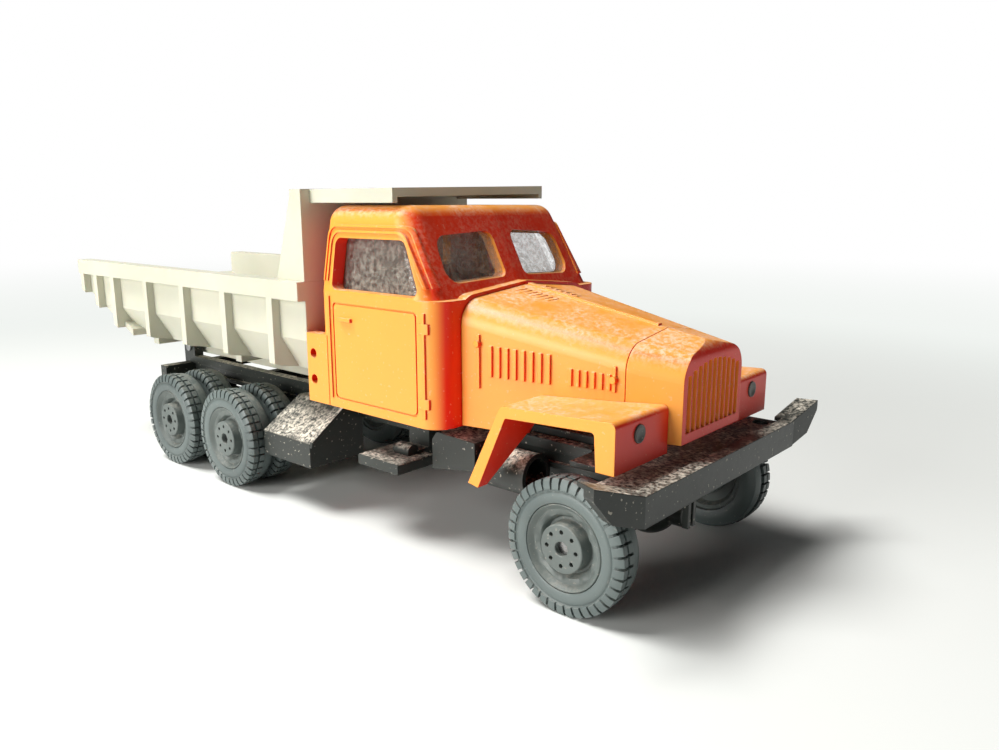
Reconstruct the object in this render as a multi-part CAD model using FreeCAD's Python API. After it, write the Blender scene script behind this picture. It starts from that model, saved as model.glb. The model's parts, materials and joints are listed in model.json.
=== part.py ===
"""Toy dump truck: a bonneted three-axle tipper, about 1:87, in millimetres.

x points forward, y to the truck's left, z up.  The layout is drawn from the front axle
and from the frame's own level, and every piece is then shifted so that the origin lies
on the ground under the middle of the whole truck.
"""
import FreeCAD, Part
import math
import os

V = FreeCAD.Vector

# ---- axles and wheels
TYRE_R = 5.5              # outside radius of every tyre
TYRE_W = 3.1              # width of one tyre
TYRE_CROWN_Z = 11.0       # top of every tyre, whatever its radius
TYRE_SPACE = 1.4          # between the mid and rear tyres
RIM_R = 3.5               # seat of the tyre on its rim
DUAL_GAP = 0.5            # space between the two tyres of a rear pair
FRONT_TRACK = 13.0        # outer face of a front tyre, from the middle
REAR_TRACK = 13.9         # outer face of a rear tyre pair, from the middle
AXLE_R = 0.7              # steel axle pin
BORE_CLEAR = 0.05         # running clearance of a pin in its bearing
AXLE_STUB = 0.45          # how far a pin's end lies inside the hub disc's face
HUB_R = 1.95              # raised hub disc
HUB_HOLE_R = 0.18         # stud holes in the hub disc
HUB_HOLES = 8
WHEELBASE = 46.0          # front axle to middle axle

# ---- chassis
RAIL_OUT = 5.8            # outer side of a frame rail, from the middle
RAIL_T = 1.2
RAIL_LOW = 8.8
RAIL_TOP = 11.2
RAIL_FRONT = 4.6          # front end of the rails, ahead of the front axle
BUMPER_FRONT = 7.2        # bumper face, ahead of the front axle
BUMPER_HALF = 13.1        # middle to the kink where a wing starts
BUMPER_LOW = 9.1
BUMPER_H = 2.4
BUMPER_T = 1.2
PLATE_LOW = 10.75         # underside of the cover plate behind the bumper
PLATE_T = 0.45
PLATE_REAR = -2.0
GEARBOX_REAR = -20.0
WING_REACH = 4.1          # a wing's sideways reach beyond its kink
WING_RISE = 1.3           # how much higher a wing's tip stands
WING_FLANGE = 2.0         # depth of the flange along a wing's top
RIGHT_WING_TURN = 20.0    # the right wing is bent back, in degrees
LEFT_WING_TURN = 8.0      # the left wing is bent forward, in degrees
LEFT_WING_AHEAD = WING_REACH * math.tan(math.radians(LEFT_WING_TURN))
PIVOT_BACK = 9.1          # rear axle to tipping pivot
PIVOT_R = 0.6
PIVOT_EAR_R = 1.3
PIVOT_Z = 12.4

# ---- cab, bonnet and wings
CAB_REAR = 30.6           # back wall behind the front axle
CAB_FRONT = 14.0          # front wall behind the front axle
CAB_HALF = 12.0
CAB_LOW = 11.8
CAB_BELT = 23.0           # window sills
CAB_TOP = 31.0
CAB_WALL = 1.2
CAB_CORNER_R = 2.0        # upright corners
SCREEN_FOOT = 0.5         # front wall back to the middle of the windscreen's foot
SCREEN_VEE = 0.6          # how far the windscreen's outer ends lie behind its middle
SCREEN_LEAN = 0.52        # backward run of the windscreen for each unit of rise
ROOF_HALF = 10.6
SIDE_PLATE_CLEAR = 0.35   # side plates behind the cab stop this short of the body
SIDE_PLATE_TOP = 18.7
GLASS_T = 0.5
GLASS_GAP = 0.05
PANE_DEEP = 0.25          # a pane's face below the cab's skin
BONNET_REAR_HALF = 9.1
NOSE_LINE = 1.0           # seam between bonnet and radiator shell
NOSE_FRONT = 5.4
NOSE_HALF = 6.3           # half width at the seam with the bonnet
NOSE_FACE_HALF = 5.0
NOSE_LOW = 12.9
NOSE_TOP = 20.4
BONNET_TOP = 23.8
BONNET_FALL = 2.7         # drop of the bonnet's crest toward the nose
HOOD_R = 2.2              # rounded shoulders of bonnet and nose
COWL_RISE = 0.3           # cowl ledge above the bonnet
GRILLE_SLITS = 11
GRILLE_FIN = 0.2          # thickness of the fins left between the slits
FENDER_OUT = 12.8
FENDER_FRONT = 4.4
FENDER_TOP = 16.1
FENDER_T = 0.9
LAMP_R = 0.7
LAMP_Y = 9.6
LAMP_Z = 14.7
SEAM = 0.06               # gap between mouldings that clip together

# ---- tipping body
BED_GAP = 2.1             # cab back wall to the headboard
BED_HALF = 11.7           # outer face of a side wall
BED_WALL = 0.9
BED_RIM_Z = 23.6
BED_FLOOR_LOW = 14.2
BED_FLOOR_T = 0.8
CREASE_Z = 17.7           # where the side walls turn inward
FLOOR_HALF = 9.6
RAIL_H = 1.9
RAIL_OUTSTAND = 0.9
RIB_W = 1.0
RIB_PITCH = 8.93
FIRST_RIB = 5.0           # headboard to the first rib
TAIL_OVERHANG = 16.0      # pivot to the tail end
TAIL_RISE = 5.6
CANOPY_REACH = 12.0       # headboard forward to the canopy's edge
CANOPY_LOW = 31.7
CANOPY_T = 0.8
CANOPY_TWIST = 0.45       # the moulding is slightly twisted: its left edge stands higher
CANOPY_LIP = 0.5          # how far the side rims hang below the canopy's plate
CANOPY_HALF = 10.6
BEAM_OUT = 4.2            # outer side of a body beam
BEAM_T = 1.3
BED_SEAT = 0.3            # clearance of the body over the frame at rest

AXLE_Z = TYRE_CROWN_Z - TYRE_R
GROUND_Z = AXLE_Z - TYRE_R
BOGIE_PITCH = 2 * TYRE_R + TYRE_SPACE
MID_X = -WHEELBASE
REAR_X = MID_X - BOGIE_PITCH
PIVOT_X = REAR_X - PIVOT_BACK
TAIL_X = PIVOT_X - TAIL_OVERHANG
HEAD_X = -CAB_REAR - BED_GAP
KINK_X = PIVOT_X - 3.4
MIDDLE_X = (BUMPER_FRONT + LEFT_WING_AHEAD + TAIL_X) / 2.0


# ---- drawing helpers
def box(x0, x1, y0, y1, z0, z1):
    return Part.makeBox(x1 - x0, y1 - y0, z1 - z0, V(x0, y0, z0))


def corner(before, here, after):
    """The two ends and the middle of the arc that rounds one corner."""
    point = V(here[0], here[1], 0)
    a = (V(before[0], before[1], 0) - point).normalize()
    b = (V(after[0], after[1], 0) - point).normalize()
    half = a.getAngle(b) / 2.0
    reach = here[2] / math.tan(half)
    middle = (a + b).normalize() * (here[2] / math.sin(half) - here[2])
    return point + a * reach, point + middle, point + b * reach


def outline(points):
    """A closed wire in the flat plane; each point is (u, v) or (u, v, radius)."""
    count = len(points)
    ends = []
    for i, here in enumerate(points):
        if len(here) == 3 and here[2] > 0:
            ends.append(corner(points[i - 1], here, points[(i + 1) % count]))
        else:
            ends.append((V(here[0], here[1], 0),))
    edges = []
    for i, here in enumerate(ends):
        if len(here) == 3:
            edges.append(Part.Arc(here[0], here[1], here[2]).toShape())
        after = ends[(i + 1) % count]
        edges.append(Part.makeLine(here[-1], after[0]))
    return Part.Wire(edges)


def on_side(wire, y=0.0):
    """Turn a flat (u, v) wire into (x, z) at the given y."""
    turned = wire.copy()
    turned.rotate(V(0, 0, 0), V(1, 0, 0), 90)
    turned.translate(V(0, y, 0))
    return turned


def on_front(wire, x=0.0):
    """Turn a flat (u, v) wire into (y, z) at the given x."""
    turned = on_side(wire)
    turned.rotate(V(0, 0, 0), V(0, 0, 1), 90)
    turned.translate(V(x, 0, 0))
    return turned


def side_prism(points, y0, y1):
    return Part.Face(on_side(outline(points), y0)).extrude(V(0, y1 - y0, 0))


def front_prism(points, x0, x1):
    return Part.Face(on_front(outline(points), x0)).extrude(V(x1 - x0, 0, 0))


def plan_prism(points, z0, z1):
    flat = outline(points)
    flat.translate(V(0, 0, z0))
    return Part.Face(flat).extrude(V(0, 0, z1 - z0))


def rod_y(x, z, radius, y0, y1):
    return Part.makeCylinder(radius, y1 - y0, V(x, y0, z), V(0, 1, 0))


def rod_x(y, z, radius, x0, x1):
    return Part.makeCylinder(radius, x1 - x0, V(x0, y, z), V(1, 0, 0))


def join(shapes):
    whole = shapes[0]
    if len(shapes) > 1:
        whole = whole.multiFuse(shapes[1:])
    return whole.removeSplitter()


def cut(shape, tools):
    return shape.cut(tools).removeSplitter()


def other_side(shape):
    return shape.mirror(V(0, 0, 0), V(0, 1, 0))


def both_sides(shape):
    return [shape, other_side(shape)]


def spun(profile, x, z):
    """Revolve a flat (radius, y) outline about an axle line at (x, z)."""
    turned = Part.Face(outline(profile)).revolve(V(0, 0, 0), V(0, 1, 0), 360)
    turned.translate(V(x, 0, z))
    return turned


# ---- wheels
def tyre(x, outer):
    """One tyre, with its outer face at y = outer and its body toward the middle."""
    step = -1 if outer > 0 else 1
    half = [
        (RIM_R, 0.2),
        (RIM_R + 0.25, 0.0),
        (TYRE_R - 1.0, 0.0),
        (TYRE_R - 0.8, 0.15),
        (TYRE_R - 0.25, 0.2),
        (TYRE_R, 0.5),
    ]
    rows = [(radius, outer + step * deep) for radius, deep in half]
    rows += [(radius, outer + step * (TYRE_W - deep)) for radius, deep in reversed(half)]
    return spun(rows, x, AXLE_Z)


def hub_holes(x, outer, inward):
    ring = HUB_R * 0.7
    holes = []
    for i in range(HUB_HOLES):
        turn = 2 * math.pi * i / HUB_HOLES
        ends = sorted([outer, outer + inward * 0.6])
        px = x + ring * math.cos(turn)
        pz = AXLE_Z + ring * math.sin(turn)
        holes.append(rod_y(px, pz, HUB_HOLE_R, ends[0], ends[1]))
    return holes


def rim(x, outer, width):
    """Dished rim with a raised hub disc, seated inside its tyre or tyre pair."""
    step = -1 if outer > 0 else 1
    rows = [
        (AXLE_R, outer),
        (HUB_R, outer),
        (HUB_R, outer + step * 0.9),
        (HUB_R + 0.35, outer + step * 1.25),
        (RIM_R - 0.75, outer + step * 1.25),
        (RIM_R - 0.35, outer + step * 0.35),
        (RIM_R, outer + step * 0.35),
        (RIM_R, outer + step * (width - 0.35)),
        (RIM_R - 0.35, outer + step * (width - 0.35)),
        (RIM_R - 0.75, outer + step * (width - 0.9)),
        (HUB_R, outer + step * (width - 0.9)),
        (HUB_R, outer + step * width),
        (AXLE_R, outer + step * width),
    ]
    return cut(spun(rows, x, AXLE_Z), hub_holes(x, outer, step))


def axle_pin(x, outer):
    reach = outer - AXLE_STUB
    return rod_y(x, AXLE_Z, AXLE_R, -reach, reach)


def front_wheels(nodes):
    for side, sign in (("right", -1), ("left", 1)):
        nodes["front_tyre_" + side] = tyre(0.0, sign * FRONT_TRACK)
        nodes["front_rim_" + side] = rim(0.0, sign * FRONT_TRACK, TYRE_W)
    nodes["front_axle_pin"] = axle_pin(0.0, FRONT_TRACK)


def rear_wheels(nodes, name, x):
    pair = 2 * TYRE_W + DUAL_GAP
    for side, sign in (("right", -1), ("left", 1)):
        inner = sign * (REAR_TRACK - TYRE_W - DUAL_GAP)
        nodes[name + "_tyre_outer_" + side] = tyre(x, sign * REAR_TRACK)
        nodes[name + "_tyre_inner_" + side] = tyre(x, inner)
        nodes[name + "_rim_" + side] = rim(x, sign * REAR_TRACK, pair)
    nodes[name + "_axle_pin"] = axle_pin(x, REAR_TRACK)


# ---- axle carriers
def axle_beam(x, half):
    """Axle tube with a differential case, bored for its pin."""
    tube = rod_y(x, AXLE_Z, AXLE_R + 0.75, -half, half)
    case = Part.makeSphere(AXLE_R + 1.9, V(x, 0, AXLE_Z))
    nut = rod_x(0, AXLE_Z, AXLE_R + 0.6, x, x + AXLE_R + 3.0)
    bore = rod_y(x, AXLE_Z, AXLE_R + BORE_CLEAR, -half - 1, half + 1)
    return cut(join([tube, case, nut]), [bore])


def leaf_spring(x, length, leaves, y0, y1, top):
    """A pack of flat leaves, the longest at the top, held by two hangers."""
    pieces = []
    for i in range(leaves):
        half = length / 2.0 * (1 - 0.2 * i)
        z1 = top - 0.4 * i
        pieces.append(box(x - half, x + half, y0, y1, z1 - 0.4, z1))
    for end in (-1, 1):
        foot = x + end * (length / 2.0 - 0.4)
        pieces.append(box(foot - 0.4, foot + 0.4, y0, y1, top - 0.4, RAIL_LOW))
    return pieces


def saddle(x, top):
    """Block that seats a spring on its axle tube."""
    return box(x - 0.9, x + 0.9, RAIL_OUT - RAIL_T, RAIL_OUT, AXLE_Z + AXLE_R + 0.3, top)


def front_suspension():
    beam = axle_beam(0.0, FRONT_TRACK - TYRE_W - 0.3)
    top = AXLE_Z + AXLE_R + 0.75 + 1.2
    springs = []
    for piece in leaf_spring(0.0, 9.0, 3, RAIL_OUT - RAIL_T, RAIL_OUT, top) + [saddle(0.0, top - 1.0)]:
        springs += both_sides(piece)
    return join([beam] + springs)


def bogie_suspension():
    half = REAR_TRACK - 2 * TYRE_W - DUAL_GAP - 0.3
    centre = (MID_X + REAR_X) / 2.0
    top = AXLE_Z + AXLE_R + 0.75 + 1.2
    pieces = [axle_beam(MID_X, half), axle_beam(REAR_X, half)]
    springs = leaf_spring(centre, BOGIE_PITCH + 1.6, 3, RAIL_OUT - RAIL_T, RAIL_OUT, top)
    springs += [saddle(MID_X, top - 0.2), saddle(REAR_X, top - 0.2)]
    springs.append(box(centre - 1.5, centre + 1.5, RAIL_OUT - RAIL_T, RAIL_OUT, top - 1.2, RAIL_LOW))
    for piece in springs:
        pieces += both_sides(piece)
    return join(pieces)


# ---- chassis
def frame():
    inner = RAIL_OUT - RAIL_T
    rail = box(PIVOT_X - PIVOT_EAR_R, RAIL_FRONT, inner, RAIL_OUT, RAIL_LOW, RAIL_TOP)
    rail = rail.cut(box(PLATE_REAR - 0.3, RAIL_FRONT + 1, inner - 1, RAIL_OUT + 1, PLATE_LOW, RAIL_TOP + 1))
    web = box(PIVOT_X, RAIL_FRONT - 0.5, RAIL_OUT - 0.4, RAIL_OUT, RAIL_LOW + 0.5, PLATE_LOW - 0.5)
    ear = box(PIVOT_X - PIVOT_EAR_R, PIVOT_X + PIVOT_EAR_R, inner, RAIL_OUT, RAIL_TOP, PIVOT_Z)
    crown = rod_y(PIVOT_X, PIVOT_Z, PIVOT_EAR_R, inner, RAIL_OUT)
    pieces = both_sides(cut(rail, [web])) + both_sides(ear) + both_sides(crown)
    bogie = (MID_X + REAR_X) / 2.0
    for x in (RAIL_FRONT - 1.2, GEARBOX_REAR - 1.4, -CAB_REAR - 1.0, bogie):
        pieces.append(box(x - 0.6, x + 0.6, -inner, inner, RAIL_LOW + 0.4, PLATE_LOW))
    pieces.append(box(PIVOT_X - 0.9, PIVOT_X + 0.5, -9.5, 9.5, RAIL_LOW + 0.1, RAIL_TOP - 0.9))
    hole = rod_y(PIVOT_X, PIVOT_Z, PIVOT_R, -RAIL_OUT - 1, RAIL_OUT + 1)
    return cut(join(pieces), [hole])


def wing(turn):
    """A bumper wing along +y from its kink, rising to a rounded tip and bent back by the turn."""
    rise = WING_RISE
    length = WING_REACH / math.cos(math.radians(turn))
    top = BUMPER_LOW + BUMPER_H
    near = rise * (length - 1.6) / length
    root = -0.4 if turn < 0 else 0.0
    rows = [
        (root, BUMPER_LOW),
        (length - 1.6, BUMPER_LOW + near),
        (length, BUMPER_LOW + 1.5 + rise, 0.4),
        (length, top + rise),
        (root, top),
    ]
    flange = [(0, top - 0.35), (length, top - 0.35 + rise), (length, top + rise), (0, top)]
    shape = join([front_prism(rows, -BUMPER_T, 0.0), front_prism(flange, -WING_FLANGE, 0.0)])
    shape.rotate(V(0, 0, top), V(0, 0, 1), turn)
    shape.translate(V(BUMPER_FRONT, BUMPER_HALF, 0))
    return shape.common(box(0, BUMPER_FRONT + 2, 0, BUMPER_HALF + WING_REACH, 0, 20))


def bumper():
    top = BUMPER_LOW + BUMPER_H
    back = BUMPER_FRONT - BUMPER_T
    beam = box(back, BUMPER_FRONT, -BUMPER_HALF, BUMPER_HALF, BUMPER_LOW, top)
    clear = FRONT_TRACK - TYRE_W - 0.6
    rows = [
        (back, -BUMPER_HALF),
        (back, BUMPER_HALF),
        (2.6, BUMPER_HALF),
        (2.6, clear),
        (PLATE_REAR, clear),
        (PLATE_REAR, -clear),
        (2.6, -clear),
        (2.6, -BUMPER_HALF),
    ]
    plate = plan_prism(rows, PLATE_LOW, PLATE_LOW + PLATE_T)
    wings = [wing(-LEFT_WING_TURN), other_side(wing(RIGHT_WING_TURN))]
    hole = Part.makeCylinder(0.75, 3, V(BUMPER_FRONT - 2.6, BUMPER_HALF - 1.4, PLATE_LOW - 1))
    return cut(join([beam, plate] + wings), [hole])


def tow_pins():
    pieces = []
    back = BUMPER_FRONT - BUMPER_T
    for y in (-5.2, -4.4):
        pieces.append(box(back, back + 0.5, y - 0.2, y + 0.2, BUMPER_LOW - 2.6, BUMPER_LOW))
    pieces.append(box(back - 0.9, back + 0.5, -5.4, -4.2, BUMPER_LOW - 0.4, BUMPER_LOW))
    return join(pieces)


def gearbox():
    """Engine sump, clutch housing and gearbox between and outside the rails."""
    inner = RAIL_OUT - RAIL_T - 0.3
    sump = box(-12.0, -2.4, -inner, inner, RAIL_LOW - 1.4, RAIL_TOP + 0.6)
    case = box(GEARBOX_REAR, -12.0, -inner + 0.8, inner - 0.8, RAIL_LOW - 2.4, RAIL_TOP - 0.6)
    return join([sump, case])


def side_block():
    """Cast block bolted to the outside of the right rail, ahead of the step."""
    rows = [
        (-17.5, RAIL_LOW - 1.6),
        (-12.2, RAIL_LOW - 0.8),
        (-12.2, RAIL_TOP - 0.6),
        (-16.9, RAIL_TOP - 0.4, 0.4),
        (-17.5, RAIL_TOP - 1.2),
    ]
    return side_prism(rows, -RAIL_OUT - 3.6, -RAIL_OUT)


def air_tank():
    """Round tank lying along the right rail, open at its front end."""
    y = -RAIL_OUT - 1.9
    can = rod_x(y, RAIL_LOW - 0.3, 1.9, -11.8, -6.6)
    mouth = rod_x(y, RAIL_LOW - 0.3, 1.45, -8.6, -6.0)
    return cut(can, [mouth])


def step():
    """Tread plate under a door, hung from the rail by a bracket."""
    tread = side_prism([(-25.0, 6.7), (-19.4, 6.7), (-19.4, 7.7, 0.2), (-25.0, 7.7, 0.2)],
                       -CAB_HALF, -CAB_HALF + 4.6)
    arm = box(-23.4, -20.6, -CAB_HALF + 3.0, -RAIL_OUT, 7.0, 8.0)
    post = box(-23.4, -20.6, -RAIL_OUT - 1.0, -RAIL_OUT, 7.0, RAIL_TOP - 0.4)
    hump = Part.makeCylinder(0.7, 2.0, V(-20.6, -CAB_HALF + 3.1, 8.0), V(-1, 0, 0))
    return join([tread, arm, post, hump])


def tool_box():
    """Box beside the rail with a sloping lid that climbs toward the rail."""
    front = -CAB_REAR - 1.2
    back = MID_X + TYRE_R + 0.6
    out = CAB_HALF + 0.7
    rows = [
        (-out, 4.8),
        (-RAIL_OUT, 4.8),
        (-RAIL_OUT, RAIL_TOP - 0.7),
        (-RAIL_OUT - 2.2, RAIL_TOP - 0.7, 0.3),
        (-out, 7.4, 0.3),
    ]
    body = front_prism(rows, back, front)
    flange = front_prism([(-out, 7.0), (-RAIL_OUT - 2.6, RAIL_TOP - 0.9),
                          (-RAIL_OUT - 2.4, RAIL_TOP - 0.5), (-out + 0.1, 7.6)],
                         front - 0.1, front + 0.35)
    return join([body, flange])


# ---- cab
def cab_plan(inset, z):
    """The upper cab's outline at one height, with the windscreen's vee in front."""
    share = (z - CAB_BELT) / (CAB_TOP - CAB_BELT)
    half = CAB_HALF + (ROOF_HALF - CAB_HALF) * share - inset
    middle = -CAB_FRONT - SCREEN_FOOT - SCREEN_LEAN * (z - CAB_BELT) - inset * 1.13
    rear = -CAB_REAR + inset
    flat = outline([
        (rear, -half, CAB_CORNER_R),
        (middle - SCREEN_VEE, -half, CAB_CORNER_R),
        (middle, 0),
        (middle - SCREEN_VEE, half, CAB_CORNER_R),
        (rear, half, CAB_CORNER_R),
    ])
    flat.translate(V(0, 0, z))
    return flat


def cab_block(inset, low):
    """The whole cab as a solid block, shrunk by the inset, down to the low level."""
    top = CAB_TOP - inset
    upper = Part.makeLoft([cab_plan(inset, CAB_BELT), cab_plan(inset, top)], True, True)
    rim = [edge for edge in upper.Edges if edge.BoundBox.ZMin > top - 0.01]
    upper = upper.makeFillet(CAB_CORNER_R * 0.9, rim)
    rear = -CAB_REAR + inset
    front = -CAB_FRONT - inset
    half = CAB_HALF - inset
    lower = plan_prism([
        (rear, -half, CAB_CORNER_R),
        (front, -half, CAB_CORNER_R),
        (front, half, CAB_CORNER_R),
        (rear, half, CAB_CORNER_R),
    ], low, CAB_BELT)
    return join([lower, upper])


def cowl(inset):
    """Ledge that carries the bonnet's line back to the windscreen."""
    crest = BONNET_TOP + COWL_RISE - inset
    half = BONNET_REAR_HALF + COWL_RISE - inset
    front = hood_section(-CAB_FRONT - inset, half, CAB_LOW, crest, HOOD_R)
    return Part.Face(front).extrude(V(-CAB_CORNER_R - 0.5, 0, 0))


def side_window(grow):
    rows = [
        (-28.1 - grow, CAB_BELT + 0.2 - grow, 0.7),
        (-16.3 + grow, CAB_BELT + 0.2 - grow, 0.5),
        (-18.9 + grow, 28.0 + grow, 0.9),
        (-28.2 - grow, 28.0 + grow, 0.7),
    ]
    return side_prism(rows, -CAB_HALF - 2, CAB_HALF + 2)


def windscreen(grow):
    rows = [
        (1.3 - grow, 24.5 - grow, 0.7),
        (8.9 + grow, 24.2 - grow, 1.3),
        (8.5 + grow, 28.3 + grow, 1.3),
        (1.3 - grow, 28.7 + grow, 0.9),
    ]
    return both_sides(front_prism(rows, -CAB_FRONT - 7, -CAB_FRONT + 3))


def rear_window(grow):
    rows = [
        (-5.5 - grow, 24.6 - grow, 0.7),
        (5.5 + grow, 24.6 - grow, 0.7),
        (5.5 + grow, 28.2 + grow, 0.7),
        (-5.5 - grow, 28.2 + grow, 0.7),
    ]
    return front_prism(rows, -CAB_REAR - 2, -CAB_REAR + 2)


def groove(rows, deep):
    """A thin outline groove in the right side of the cab, drawn in (x, z)."""
    ring = side_prism(rows, -CAB_HALF - 1, -CAB_HALF + deep)
    flat = [(x, z) for x, z, _ in rows]
    middle = V(sum(p[0] for p in flat) / len(flat), 0, sum(p[1] for p in flat) / len(flat))
    core = ring.copy()
    wide = max(p[0] for p in flat) - min(p[0] for p in flat)
    tall = max(p[1] for p in flat) - min(p[1] for p in flat)
    scale = FreeCAD.Matrix()
    scale.move(-middle)
    scale.scale(1 - 0.3 / wide, 1, 1 - 0.3 / tall)
    scale.move(middle)
    return ring.cut(core.transformGeometry(scale))


def drip_rail(rise):
    """One line of the rail that arches over a door's window, raised by the given amount."""
    rows = [
        (-28.7 - rise, 24.0),
        (-28.7 - rise, 28.6 + rise, 1.2),
        (-19.1 + rise, 28.6 + rise, 1.4),
        (-16.0 + rise, 24.0),
        (-16.25 + rise, 24.0),
        (-19.3 + rise, 28.35 + rise, 1.3),
        (-28.45 - rise, 28.35 + rise, 1.0),
        (-28.45 - rise, 24.0),
    ]
    return side_prism(rows, -CAB_HALF - 1, -ROOF_HALF + 0.5)


def door_details():
    """Drip rail, door edge strip, hinges and handle, all standing on the right side."""
    strip = box(-15.75, -15.45, -CAB_HALF - 1, -CAB_HALF + 2, CAB_LOW + 0.9, 22.0)
    edge = box(-28.6, -28.35, -CAB_HALF - 1, -CAB_HALF + 2, CAB_LOW + 0.9, CAB_BELT - 0.4)
    hinges = [box(-16.2, -15.1, -CAB_HALF - 1, -CAB_HALF + 2, z, z + 0.9) for z in (13.6, 20.2)]
    skin = cab_block(-0.16, CAB_LOW).cut(cab_block(0.2, CAB_LOW - 1))
    pieces = [tool.common(skin) for tool in [drip_rail(0.15), drip_rail(0.65), strip, edge] + hinges]
    pieces.append(box(-27.0, -25.2, -CAB_HALF - 0.3, -CAB_HALF + 0.1, 20.3, 20.65))
    return pieces


def cab():
    outer = join([cab_block(0.0, CAB_LOW), cowl(0.0)])
    plate = box(HEAD_X + SIDE_PLATE_CLEAR, -CAB_REAR + 1.5, -CAB_HALF, -CAB_HALF + CAB_WALL,
                CAB_LOW, SIDE_PLATE_TOP)
    holes = []
    for z in (14.1, 16.7):
        holes.append(rod_y(HEAD_X + SIDE_PLATE_CLEAR + 1.0, z, 0.48, -CAB_HALF - 1, CAB_HALF + 1))
    pieces = [outer.cut(cab_block(CAB_WALL, CAB_LOW - 1))]
    for piece in [plate] + door_details():
        pieces += both_sides(piece)
    door = groove([(-28.0, CAB_LOW + 0.9, 0.5), (-16.5, CAB_LOW + 0.9, 0.5),
                   (-16.5, 22.0, 0.4), (-28.0, 22.0, 0.4)], 0.16)
    tools = [side_window(0.0), rear_window(0.0)] + windscreen(0.0) + both_sides(door) + holes
    tools.append(box(-CAB_FRONT - 2, -CAB_FRONT + 2, -4.5, 4.5, CAB_LOW - 1, 20.0))
    return cut(join(pieces), tools)


def glazing():
    """Clear moulding that lines the upper cab; its windscreen panes stand in their openings."""
    gap = CAB_WALL + GLASS_GAP
    low = CAB_BELT - 1.4
    hollow = cab_block(gap + GLASS_T, low - 1)
    lining = cab_block(gap, low).cut(hollow)
    skin = cab_block(PANE_DEEP, low).cut(cab_block(gap + GLASS_T / 2, low - 1))
    pieces = [lining]
    for window in windscreen(-GLASS_GAP):
        pieces.append(window.common(skin))
    return join(pieces)


def cab_interior():
    """Seat bench and dashboard in one dark moulding that plugs the cab's floor."""
    half = CAB_HALF - CAB_WALL - 0.1
    rear = -CAB_REAR + CAB_WALL + 0.1
    room = cab_block(CAB_WALL + 0.1, CAB_LOW)
    floor = box(rear, -CAB_FRONT - CAB_WALL - 0.1, -half, half, CAB_LOW, CAB_LOW + 1.0)
    seat = side_prism([(rear, CAB_LOW), (rear + 5.6, CAB_LOW), (rear + 5.6, 17.4, 0.5),
                       (rear + 2.2, 17.2, 0.4), (rear + 1.5, 21.3, 0.6), (rear, 21.3)],
                      -half + 0.8, half - 0.8)
    dash = side_prism([(-CAB_FRONT - 3.6, 19.6), (-CAB_FRONT - 3.2, 21.3, 0.5),
                       (-CAB_FRONT - 1.1, 21.3), (-CAB_FRONT - 1.1, CAB_LOW),
                       (-CAB_FRONT - 2.2, CAB_LOW)], -half + 0.3, half - 0.3)
    return join([floor, seat, dash]).common(room)


# ---- bonnet, radiator shell and wings
def hood_section(x, half, low, crest, radius):
    shoulder = crest - 0.9
    rows = [
        (-half, low),
        (half, low),
        (half, shoulder, radius),
        (0, crest),
        (-half, shoulder, radius),
    ]
    return on_front(outline(rows), x)


def hood_share(x):
    return (x + CAB_FRONT) / (NOSE_LINE + CAB_FRONT)


def hood_half(x):
    """Half width of the bonnet at a station between its two ends."""
    return BONNET_REAR_HALF + (NOSE_HALF - BONNET_REAR_HALF) * hood_share(x)


def hood_crest(x):
    return BONNET_TOP - BONNET_FALL * hood_share(x)


def hood_loft(inset, rear, front):
    ends = []
    for x in (rear, front):
        ends.append(hood_section(x, hood_half(x) - inset, 11.9 - inset, hood_crest(x) - inset, HOOD_R))
    return Part.makeLoft(ends, True, True)


def nose_loft(grow, low):
    """The nose, from the seam with the bonnet to its narrower face."""
    ends = [
        hood_section(NOSE_LINE, NOSE_HALF + grow, low, BONNET_TOP - BONNET_FALL + grow, HOOD_R),
        hood_section(NOSE_FRONT, NOSE_FACE_HALF + grow, low, NOSE_TOP + grow, HOOD_R),
    ]
    return Part.makeLoft(ends, True, True)


def louvres():
    """Raised louvres and latch bars on the right side of the bonnet."""
    pieces = []
    slope = math.degrees(math.atan2(BONNET_REAR_HALF - NOSE_HALF, NOSE_LINE + CAB_FRONT))
    bars = []
    for i in range(8):
        bars.append((-11.0 + 0.78 * i, 0.34, 16.6, 19.3 - 0.03 * i))
    for i in range(6):
        bars.append((-3.6 + 0.66 * i, 0.30, 16.7, 18.1 - 0.02 * i))
    bars.append((-12.2, 0.32, 15.5, 20.2))
    bars.append((0.15, 0.28, 16.6, 18.7))
    for x, wide, low, high in bars:
        bar = box(-wide / 2, wide / 2, -0.22, 0.3, low, high)
        bar.rotate(V(0, 0, 0), V(0, 0, 1), slope)
        bar.translate(V(x, -hood_half(x), 0))
        pieces.append(bar)
    for x, z in ((-12.2, 19.4), (0.15, 17.6)):
        knob = rod_y(x, z, 0.3, -0.42, 0.2)
        knob.translate(V(0, -hood_half(x), 0))
        pieces.append(knob)
    return pieces


def hood_top_details():
    """Centre hinge and two groups of slanting air slots on the bonnet's top."""
    pieces = []
    run = NOSE_LINE + CAB_FRONT
    tilt = math.degrees(math.atan(BONNET_FALL / run))
    hinge = box(0, run - 0.8, -0.28, 0.28, -0.25, 0.12)
    hinge.rotate(V(0, 0, 0), V(0, 1, 0), tilt)
    hinge.translate(V(-CAB_FRONT + 0.3, 0, BONNET_TOP - 0.03))
    pieces.append(hinge)
    for row in range(7):
        x = -CAB_FRONT + 1.2 + 0.6 * row
        bar = box(0, 0.26, 1.4, 5.4, -0.4, 0.12)
        bar.rotate(V(0, 0, 0), V(1, 0, 0), -math.degrees(math.atan(0.9 / hood_half(x))))
        bar.rotate(V(0, 0, 0), V(0, 1, 0), tilt)
        bar.rotate(V(0, 0, 0), V(0, 0, 1), 12)
        bar.translate(V(x, 0, hood_crest(x)))
        pieces += both_sides(bar)
    return pieces


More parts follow.
